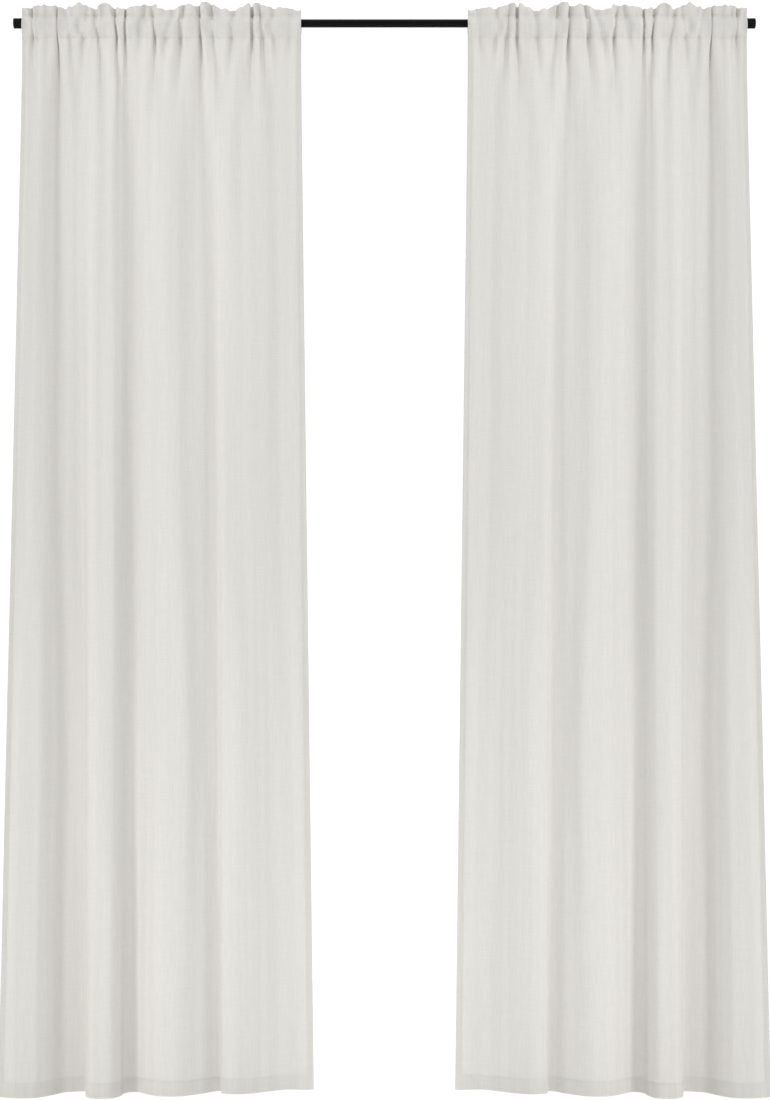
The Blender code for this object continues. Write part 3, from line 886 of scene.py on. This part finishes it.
def turned(name, outline, finish):
    """A piece turned about the rod's axis, from a closed outline of (x, radius) points."""
    mesh = bmesh.new()
    points = [mesh.verts.new((x, 0.0, radius)) for x, radius in outline]
    edges = [
        mesh.edges.new(pair)
        for pair in zip(points, points[1:] + points[:1])
        if max(vertex.co.z for vertex in pair) > 0
    ]
    bmesh.ops.spin(
        mesh, geom=points + edges, axis=(1, 0, 0), angle=2 * math.pi, steps=TURNED_SIDES, use_merge=True
    )
    bmesh.ops.remove_doubles(mesh, verts=mesh.verts, dist=1e-6)
    bmesh.ops.recalc_face_normals(mesh, faces=mesh.faces)
    data = bpy.data.meshes.new(name)
    mesh.to_mesh(data)
    mesh.free()
    data.shade_smooth()
    data.set_sharp_from_angle(angle=math.radians(40))
    data.materials.append(finish)
    obj = bpy.data.objects.new(name, data)
    bpy.context.scene.collection.objects.link(obj)
    return obj


def tube_outline(node):
    low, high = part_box(node)
    outside, inside = high.z, high.z - TUBE_WALLS[node]
    return [
        (low.x + EDGE, outside), (high.x - EDGE, outside), (high.x, outside - EDGE),
        (high.x, inside + EDGE), (high.x - EDGE, inside), (low.x + EDGE, inside),
        (low.x, inside + EDGE), (low.x, outside - EDGE),
    ]  # fmt: skip


def cap_outline(node, tube):
    """A cup over the tube's end: grooved face, rounded edge, ringed skirt, plain bore."""
    low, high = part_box(node)
    length, radius = high.x - low.x, high.z
    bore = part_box(tube)[1].z + CAP_FIT
    face = [(0, 0)]
    for ring in (0.25, 0.5, 0.75):
        for offset, depth in ((-0.4, 0), (-0.2, 1), (0.2, 1), (0.4, 0)):
            face.append((depth * GROOVE_DEPTH, ring * radius + offset * MM))
    face += [
        (CAP_CORNER * (1 - math.cos(turn)), radius - CAP_CORNER * (1 - math.sin(turn)))
        for turn in np.radians([0, 15, 30, 45, 60, 75, 90])
    ]
    skirt = []
    for ring in range(GRIP_RINGS):
        start = length * (0.30 + 0.15 * ring)
        for offset, depth in ((0, 0), (0.25, 1), (0.85, 1), (1.1, 0)):
            skirt.append((start + offset * MM, radius - depth * GRIP_DEPTH))
    rim = [(length - EDGE, radius), (length, radius - EDGE), (length, bore)]
    return face + skirt + rim + [(CAP_END_WALL, bore), (CAP_END_WALL, 0)]


ROD_PIECES = {  # node: body, finish, material slot, outline
    "outer_tube": ("outer_rod", powder_coat, "rod_paint", tube_outline("outer_tube")),
    "inner_tube": ("inner_rod", powder_coat, "rod_paint", tube_outline("inner_tube")),
    "left_end_cap": ("outer_rod", rubber, "cap_rubber", cap_outline("left_end_cap", "outer_tube")),
    "right_end_cap": (
        "inner_rod",
        rubber,
        "cap_rubber",
        [(ROD_END - x, r) for x, r in cap_outline("right_end_cap", "inner_tube")],
    ),
}
for node, (body, finish, slot, outline) in ROD_PIECES.items():
    piece = turned(f"{node}_turned", outline, finish)
    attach(piece, body)
    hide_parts(node)
    print(piece.name, len(piece.data.polygons), "faces")

# %% [markdown]
# ## The spring
#
# Inside the narrow tube a coil spring pushes the tube off the lock's shaft. It is wound again from
# the imported spring's size, with rounder wire. This script ties it to neither the shaft nor the
# tube.

# %% Wind the spring
SPRING_WIRE = 1.2 * MM
SPRING_TURNS = 11
STEPS_PER_TURN = 32


def wound_spring():
    low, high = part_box("spring")
    turn = np.linspace(0, 1, SPRING_TURNS * STEPS_PER_TURN + 1)
    angle = 2 * np.pi * SPRING_TURNS * turn
    coil = high.z - SPRING_WIRE / 2
    x = low.x + SPRING_WIRE / 2 + (high.x - low.x - SPRING_WIRE) * turn
    places = np.column_stack([x, coil * np.cos(angle), coil * np.sin(angle), np.ones_like(x)])
    curve = bpy.data.curves.new("spring_wire", "CURVE")
    curve.dimensions = "3D"
    curve.bevel_depth = SPRING_WIRE / 2
    curve.bevel_resolution = 4
    curve.use_fill_caps = True
    line = curve.splines.new("POLY")
    line.points.add(len(places) - 1)
    line.points.foreach_set("co", places.ravel())
    wire = bpy.data.objects.new("spring_wire", curve)
    bpy.context.scene.collection.objects.link(wire)
    evaluated = wire.evaluated_get(bpy.context.evaluated_depsgraph_get())
    mesh = bpy.data.meshes.new_from_object(evaluated)
    bpy.data.objects.remove(wire)
    mesh.shade_smooth()
    mesh.materials.clear()
    mesh.materials.append(zinc_plate)
    spring = bpy.data.objects.new("wound_spring", mesh)
    bpy.context.scene.collection.objects.link(spring)
    return spring


spring = wound_spring()
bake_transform(spring)
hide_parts("spring")
print(spring.name, len(spring.data.polygons), "faces")

# %% [markdown]
# ## The studio
#
# The surroundings are a plain pale studio: white behind the curtains and overhead, and dimmer on
# the room side, so that the folds keep their shadows. Two tall narrow lamps stand far out to the
# left and right, so that each panel is lit from its own outer side. A third, low and wide, stands
# straight in front and lifts the hems.

# %% Surroundings
BEHIND_LIGHT = 1.08
ROOM_LIGHT = 0.41
OVERHEAD_LIGHT = 0.8


def make_surroundings():
    world = bpy.data.worlds.new("studio")
    world.use_nodes = True
    tree = world.node_tree
    tree.nodes.clear()
    direction = add(tree, "ShaderNodeTexCoord").outputs["Generated"]
    parts = add(tree, "ShaderNodeSeparateXYZ", Vector=direction).outputs
    level = add(
        tree,
        "ShaderNodeMapRange",
        {"interpolation_type": "SMOOTHSTEP"},
        _0=parts["Y"],
        _1=-0.6,
        _2=0.5,
        _3=ROOM_LIGHT,
        _4=BEHIND_LIGHT,
    ).outputs[0]
    above = add(
        tree,
        "ShaderNodeMapRange",
        {"interpolation_type": "SMOOTHSTEP"},
        _0=parts["Z"],
        _1=0.35,
        _2=0.85,
        _3=0.0,
        _4=OVERHEAD_LIGHT,
    ).outputs[0]
    strength = add(tree, "ShaderNodeMath", {"operation": "ADD"}, _0=level, _1=above).outputs[0]
    add(
        tree,
        "ShaderNodeOutputWorld",
        Surface=add(
            tree, "ShaderNodeBackground", Color=linear("#FFFFFF"), Strength=strength
        ).outputs[0],
    )
    return world


bpy.context.scene.world = make_surroundings()
bpy.context.scene.view_settings.view_transform = "Standard"

# %% Floor
FLOOR_GAP = 25 * MM
FLOOR_SIZE = 400.0
MOTTLE = 0.4

floor_mesh = bmesh.new()
bmesh.ops.create_grid(floor_mesh, x_segments=1, y_segments=1, size=FLOOR_SIZE / 2)
floor_data = bpy.data.meshes.new("floor")
floor_mesh.to_mesh(floor_data)
floor_mesh.free()
floor = bpy.data.objects.new("floor", floor_data)
floor.location = (ROD_END / 2, 0, HEM_LOW - FLOOR_GAP)
bpy.context.scene.collection.objects.link(floor)
floor_material = grainy_material(
    "pale_painted_floor",
    ("#EDEDEC", "#EFEFEE"),
    (MOTTLE, MOTTLE, MOTTLE),
    0.0,
    Roughness=0.9,
    Specular_IOR_Level=0.1,
)
floor_data.materials.append(floor_material)


# %% Lamps
LAMP_DISTANCE = 3.0
LAMP_ANGLE = 45  # degrees from straight on
LAMP_WIDTH, LAMP_HEIGHT = 0.4, 3.0
LAMP_AIM_INWARD = 0.03  # from the middle of a panel's gathers
LAMP_SPREAD = 16  # degrees, so that a lamp lights its own panel and not the other
LAMP_WATTS = 1.3
FILL_WIDTH, FILL_HEIGHT = 1.6, 0.4
FILL_SPREAD = 36
FILL_WATTS = 0.55


def soft_lamp(name, aim, turn, size, spread, watts):
    """A lamp on the room side, turned from straight on by so many degrees."""
    light = bpy.data.lights.new(name, "AREA")
    light.shape = "RECTANGLE"
    light.size, light.size_y = size
    light.energy = watts
    light.spread = math.radians(spread)
    lamp = bpy.data.objects.new(name, light)
    angle = math.radians(turn)
    lamp.location = aim + Vector((math.sin(angle), -math.cos(angle), 0.1)) * LAMP_DISTANCE
    lamp.rotation_euler = (aim - lamp.location).to_track_quat("-Z", "Y").to_euler()
    bpy.context.scene.collection.objects.link(lamp)


panel_middle = (GATHER_START + GATHER_END) / 2 + LAMP_AIM_INWARD
strip = (LAMP_WIDTH, LAMP_HEIGHT), LAMP_SPREAD, LAMP_WATTS
soft_lamp("left_lamp", Vector((panel_middle, 0, -1.0)), -LAMP_ANGLE, *strip)
soft_lamp("right_lamp", Vector((ROD_END - panel_middle, 0, -1.0)), LAMP_ANGLE, *strip)
low_fill = (FILL_WIDTH, FILL_HEIGHT), FILL_SPREAD, FILL_WATTS
soft_lamp("low_fill", Vector((ROD_END / 2, 0, -1.9)), 0, *low_fill)
